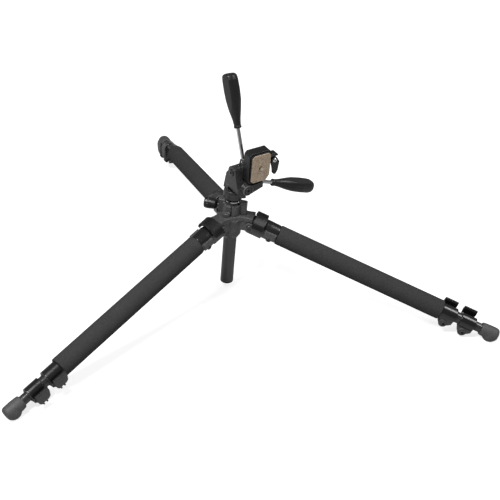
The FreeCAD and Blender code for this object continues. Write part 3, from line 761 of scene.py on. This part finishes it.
    def trim(self) -> None:
        """Bushes and block screws, which no CAD node holds, and the hinge bolts, which one node holds."""
        extras = {"upper_bush": (self.bush(*self.upper_bush), "upper", BLACK_SATIN, "clamp_plastic"),
                  "lower_bush": (self.bush(*self.lower_bush), "middle", BLACK_SATIN, "clamp_plastic"),
                  "block_screws": (self.block_screws(), "upper", BLACK_STEEL, "black_steel")}
        for part, (model, rider, finish, slot) in extras.items():
            for leg in Leg:
                piece = Bench.twin(model, f"leg_{leg.number}_{part}")
                dress(piece, finish)
                Bench.settle(piece, self.place(leg), f"leg_{leg.number}_{rider}", slot)
            bpy.data.objects.remove(model)
        model = self.hinge_bolt()
        for leg in Leg:
            bolt = Bench.twin(model, f"hinge_bolt_{leg.number}")
            dress(bolt, LEVER_PAINT)
            Bench.two_tone(bolt, BLACK_GLOSS, self.on_bolt_rim)
            Bench.settle(bolt, self.place(leg), "hub", "black_steel", "hinge_bolts")
        bpy.data.objects.remove(model)

    def on_bolt_rim(self, spot: Vector) -> bool:
        """Whether a spot is on the dark rims or in the dark hollows of a hinge bolt."""
        away = math.hypot(spot.x - self.hinge_along, spot.z - self.hinge_above)
        return away > self.bolt_face[1] or away < self.bolt_face[0]


# ---- hub, column and head ------------------------------------------------------------------
@dataclass
class CastMaker:
    """Castings and mouldings of the hub and the head, softened from their CAD shapes."""

    voxels: dict[str, float] = field(default_factory=lambda: {
        "hub_casting": 0.8, "column_collar": 0.7, "column_lock_knob": 0.5, "pan_base": 0.6,
        "tilt_body": 0.6, "flip_body": 0.6, "tilt_grip": 0.8, "flip_grip": 0.8, "qr_lever": 0.35,
        "qr_plate": 0.4, "cork_pad": 0.3,
    })
    platform_n: float = 34.5 * MM       # the flip casting is black from here towards the plate
    small_voxel: float = 0.45           # a piece with finer faces than this is relaxed less

    def build(self) -> None:
        """Soften every casting and tie it to the body of its node."""
        owner = {node: body for body, nodes in frame["record"]["behaviour"]["bodies"].items()
                 for node in nodes}
        normal = Vector(joint("head_tilt")["axis"])
        for node, voxel in self.voxels.items():
            piece = Bench.cad_copy(node, f"{node}_skin", Matrix.Identity(4))
            Bench.cast(piece, voxel * MM, passes=2 if voxel < self.small_voxel else 4)
            slot = slot_of(node)
            dress(piece, SLOT_FINISH[slot])
            if node == "flip_body":
                Bench.two_tone(piece, BLACK_SATIN, lambda c: normal.dot(c) > self.platform_n)
            Bench.settle(piece, Matrix.Identity(4), owner[node], slot, node)


@dataclass
class FittingMaker:
    """Turned fittings of the column and the head: axles, screws, washers and caps."""

    axle_radius: float = 5.0 * MM
    tilt_cap: tuple[float, float, float] = (11.55 * MM, 50.1 * MM, 53.0 * MM)
    flip_head: tuple[float, float] = (7.4 * MM, 23.9 * MM)
    screw_span: tuple[float, float] = (60.6 * MM, 65.4 * MM)
    thread_radius: float = 3.17 * MM
    thread_turns: int = 4
    pin_centre: tuple[float, float] = (57.5 * MM, 1.75 * MM)
    post_above_ring: float = 16.35 * MM

    def head_spot(self, name: str) -> Vector:
        """Where a head joint's axis starts."""
        return Vector(joint(name)["pos_m"])

    def plate_place(self, name: str) -> Matrix:
        """The frame of a piece that stands square to the camera plate.

        Args:
            name: The piece's joint.

        Returns:
            A matrix with +X on the joint's axis, counted from the column's middle.
        """
        normal = Vector(joint(name)["axis"])
        spot = self.head_spot(name)
        return aimed(spot - normal * normal.dot(spot), normal)

    def tilt_axle(self) -> None:
        """Tilt axle with a dished, socketed cap."""
        normal = Vector(joint("head_tilt")["axis"])
        radius, low, high = self.tilt_cap
        dish = high - 0.9 * MM
        axle = Bench.lathe("tilt_axle_skin", [
            (-22.0 * MM, 5.5 * MM), (-22.0 * MM, 7.0 * MM), (-21.4 * MM, 7.5 * MM), (-19.4 * MM, 7.5 * MM),
            (-19.4 * MM, self.axle_radius), (low, self.axle_radius), (low, radius - 0.1 * MM),
            (dish, radius), (high, radius - 0.8 * MM), (high, 9.4 * MM), (dish, 9.0 * MM),
            (dish, 7.6 * MM), (high, 7.2 * MM), (high, 4.4 * MM)], segments=72)
        Bench.carve(axle, high, 2.9 * MM, 2.2 * MM)
        Bench.smooth(axle)
        dress(axle, HEAD_PAINT)
        Bench.settle(axle, aimed(self.head_spot("head_tilt"), normal), "tilt", "head_paint", "tilt_axle")

    def flip_axle(self) -> None:
        """Flip axle with a domed socket head."""
        across = Vector(joint("head_flip")["axis"])
        radius, end = self.flip_head
        axle = Bench.lathe("flip_axle_skin", [
            (-38.0 * MM, 4.0 * MM), (-38.0 * MM, self.axle_radius), (21.6 * MM, self.axle_radius),
            (21.6 * MM, radius), (end - 1.2 * MM, radius), (end - 0.4 * MM, radius - 0.9 * MM),
            (end, radius - 2.2 * MM)], segments=56)
        Bench.carve(axle, end, 3.0 * MM, 1.8 * MM)
        Bench.smooth(axle)
        dress(axle, BLACK_GLOSS)
        Bench.settle(axle, aimed(self.head_spot("head_flip"), across), "tilt", "head_paint", "flip_axle")

    def camera_screw(self) -> None:
        """Captive camera screw with a grooved thread."""
        low, high = self.screw_span
        pitch = (high - low) / self.thread_turns
        stations = [(45.2 * MM, 6.9 * MM), (45.8 * MM, 7.5 * MM), (53.8 * MM, 7.5 * MM),
                    (53.8 * MM, 2.5 * MM), (low, 2.5 * MM)]
        for i in range(self.thread_turns):
            x = low + i * pitch
            stations += [(x + 0.15 * pitch, self.thread_radius), (x + 0.5 * pitch, self.thread_radius),
                         (x + 0.8 * pitch, 2.75 * MM)]
        stations += [(high - 0.1 * MM, 2.6 * MM), (high, 1.7 * MM)]
        screw = Bench.lathe("camera_screw_skin", stations, segments=48)
        dress(screw, SCREW_BRASS)
        Bench.settle(screw, self.plate_place("camera_screw_turn"), "screw", "screw_steel", "camera_screw")

    def lever_pin(self) -> None:
        """Plate lever's pin with a bright washer head round a dark centre."""
        pin = Bench.lathe("qr_lever_pin_skin", [
            (43.2 * MM, 1.7 * MM), (43.2 * MM, 2.0 * MM), (57.3 * MM, 2.0 * MM), (57.3 * MM, 4.2 * MM),
            (58.0 * MM, 4.35 * MM), (58.6 * MM, 3.9 * MM), (58.6 * MM, 1.9 * MM), (57.9 * MM, 1.6 * MM)],
            segments=48)
        dress(pin, CHROME)
        depth, centre = self.pin_centre
        Bench.two_tone(pin, BLACK_GLOSS, lambda c: c.x > depth and math.hypot(c.y, c.z) < centre)
        Bench.settle(pin, self.plate_place("plate_lever_turn"), "platform", "chrome", "qr_lever_pin")

    def washer(self) -> None:
        """Bright friction washer under the head, with its stud."""
        low, high = (c.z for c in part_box("pan_washer"))
        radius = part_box("pan_washer")[1].x
        ring_top = high - self.post_above_ring
        stations = [(low, 13.0 * MM), (low, radius - 0.9 * MM), (low + 0.7 * MM, radius - 0.05 * MM),
                    (ring_top - 0.7 * MM, radius - 0.05 * MM), (ring_top, radius - 0.9 * MM),
                    (ring_top, 5.0 * MM), (high - 0.6 * MM, 5.0 * MM), (high, 4.4 * MM)]
        washer = Bench.lathe("pan_washer_skin", stations, segments=96)
        dress(washer, CHROME)
        Bench.settle(washer, UPRIGHT, "column", "chrome", "pan_washer")

    def end_cap(self) -> None:
        """Cap at the column's foot."""
        low, high = (c.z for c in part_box("column_end_cap"))
        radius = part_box("column_end_cap")[1].x - 0.03 * MM
        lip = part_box("column_tube")[0].z
        stations = [(low, 8.0 * MM), (low, radius - 1.2 * MM), (low + 1.0 * MM, radius),
                    (lip - 1.1 * MM, radius), (lip - 0.6 * MM, radius - 0.5 * MM), (lip - 0.05 * MM, radius),
                    (lip - 0.05 * MM, 12.3 * MM), (high, 12.3 * MM)]
        cap = Bench.lathe("column_end_cap_skin", stations, segments=72)
        dress(cap, BLACK_SATIN)
        Bench.settle(cap, UPRIGHT, "column", "black_plastic", "column_end_cap")

    def build(self) -> None:
        """Turn every fitting."""
        self.tilt_axle()
        self.flip_axle()
        self.camera_screw()
        self.lever_pin()
        self.washer()
        self.end_cap()


# ---- studio --------------------------------------------------------------------------------
@dataclass
class Studio:
    """Camera, floor and soft light."""

    turn: float = math.radians(-20.34)
    elevation: float = math.radians(37.17)
    roll: float = math.radians(5.3)
    eye: tuple[float, float, float] = (-0.5935, -1.7299, 1.3126)  # z is from the leg hinges
    lens: float = 77.455
    sensor: float = 36.0
    floor_glow: float = 0.78
    backdrop: float = 1.0
    sky: float = 0.16
    floor_size: float = 30.0
    floor_drop: float = 0.0002          # keeps the floor clear of the soles
    floor_grey: float = 0.45
    aim_height: float = 0.2

    def camera(self) -> None:
        """The camera, high in front of the tripod and a little rolled."""
        data = bpy.data.cameras.new("view")
        data.lens = self.lens
        data.sensor_width = self.sensor
        data.clip_end = 50.0
        cam = bpy.data.objects.new("view", data)
        bpy.context.scene.collection.objects.link(cam)
        ahead = Vector((-math.sin(self.turn) * math.cos(self.elevation),
                        math.cos(self.turn) * math.cos(self.elevation), -math.sin(self.elevation)))
        level = Vector((math.cos(self.turn), math.sin(self.turn), 0))
        rise = level.cross(ahead)
        right = level * math.cos(self.roll) + rise * math.sin(self.roll)
        up = rise * math.cos(self.roll) - level * math.sin(self.roll)
        axes = Matrix((right, up, -ahead)).transposed().to_4x4()
        hinge = Vector((0, 0, joint("leg_1_fold")["pos_m"][2]))
        cam.matrix_world = Matrix.Translation(Vector(self.eye) + hinge) @ axes
        bpy.context.scene.camera = cam

    def floor(self) -> None:
        """A wide pale floor, lit a little more towards the camera than towards the tripod."""
        Bench.clear()
        bpy.ops.mesh.primitive_plane_add(size=self.floor_size, location=(0, 0, -self.floor_drop))
        plane = bpy.context.object
        plane.name = "floor"
        paper = bpy.data.materials.new("floor_paper")
        paper.use_nodes = True
        tree = paper.node_tree
        shader = tree.nodes["Principled BSDF"]
        shader.inputs["Base Color"].default_value = (*[self.floor_grey] * 3, 1)
        shader.inputs["Roughness"].default_value = 1.0
        shader.inputs["Specular IOR Level"].default_value = 0.0
        shader.inputs["Emission Color"].default_value = (1, 1, 1, 1)
        glow = tree.nodes.new("ShaderNodeMath")
        glow.operation = "MULTIPLY"
        glow.inputs[1].default_value = self.floor_glow
        seen = tree.nodes.new("ShaderNodeLightPath")
        tree.links.new(seen.outputs["Is Camera Ray"], glow.inputs[0])
        tree.links.new(glow.outputs["Value"], shader.inputs["Emission Strength"])
        plane.data.materials.append(paper)

    def lamp(self, name: str, place: tuple[float, float, float], size: float, power: float) -> None:
        """One square soft light, aimed at the hub.

        Args:
            name: The light's name.
            place: Where it hangs, in metres.
            size: Its side, in metres.
            power: Its output, in watts.
        """
        data = bpy.data.lights.new(name, "AREA")
        data.size = size
        data.energy = power
        lamp = bpy.data.objects.new(name, data)
        bpy.context.scene.collection.objects.link(lamp)
        lamp.location = place
        aim = Vector((0, 0, self.aim_height)) - Vector(place)
        lamp.rotation_mode = "QUATERNION"
        lamp.rotation_quaternion = aim.to_track_quat("-Z", "Y")

    def surroundings(self) -> None:
        """A white backdrop for the camera, and a dimmer sky for everything else."""
        world = bpy.data.worlds.new("studio")
        bpy.context.scene.world = world
        world.use_nodes = True
        tree = world.node_tree
        sky = tree.nodes["Background"]
        sky.inputs["Color"].default_value = (1, 1, 1, 1)
        sky.inputs["Strength"].default_value = self.sky
        backdrop = tree.nodes.new("ShaderNodeBackground")
        backdrop.inputs["Color"].default_value = (1, 1, 1, 1)
        backdrop.inputs["Strength"].default_value = self.backdrop
        seen = tree.nodes.new("ShaderNodeLightPath")
        either = tree.nodes.new("ShaderNodeMixShader")
        tree.links.new(seen.outputs["Is Camera Ray"], either.inputs[0])
        tree.links.new(sky.outputs["Background"], either.inputs[1])
        tree.links.new(backdrop.outputs["Background"], either.inputs[2])
        tree.links.new(either.outputs["Shader"], tree.nodes["World Output"].inputs["Surface"])

    def build(self) -> None:
        """Set the whole studio up."""
        self.camera()
        self.floor()
        self.surroundings()
        self.lamp("key", (-1.5, -0.7, 3.0), 1.0, 118)
        self.lamp("fill", (2.0, -0.6, 2.6), 1.2, 40)
        bpy.context.scene.view_settings.view_transform = "Standard"


def dress_cad_nodes() -> None:
    """Give every CAD node that still shows its finish."""
    for name, node in frame["nodes"].items():
        if not node.hide_render:
            dress(node, SLOT_FINISH[slot_of(name)])


def main() -> None:
    """Build the studio and every sub-assembly, in order."""
    logging.basicConfig(level=logging.INFO, format="%(name)s: %(message)s")
    Studio().build()
    LegMaker().build()
    CastMaker().build()
    FittingMaker().build()
    dress_cad_nodes()


if __name__ == "__main__":
    main()
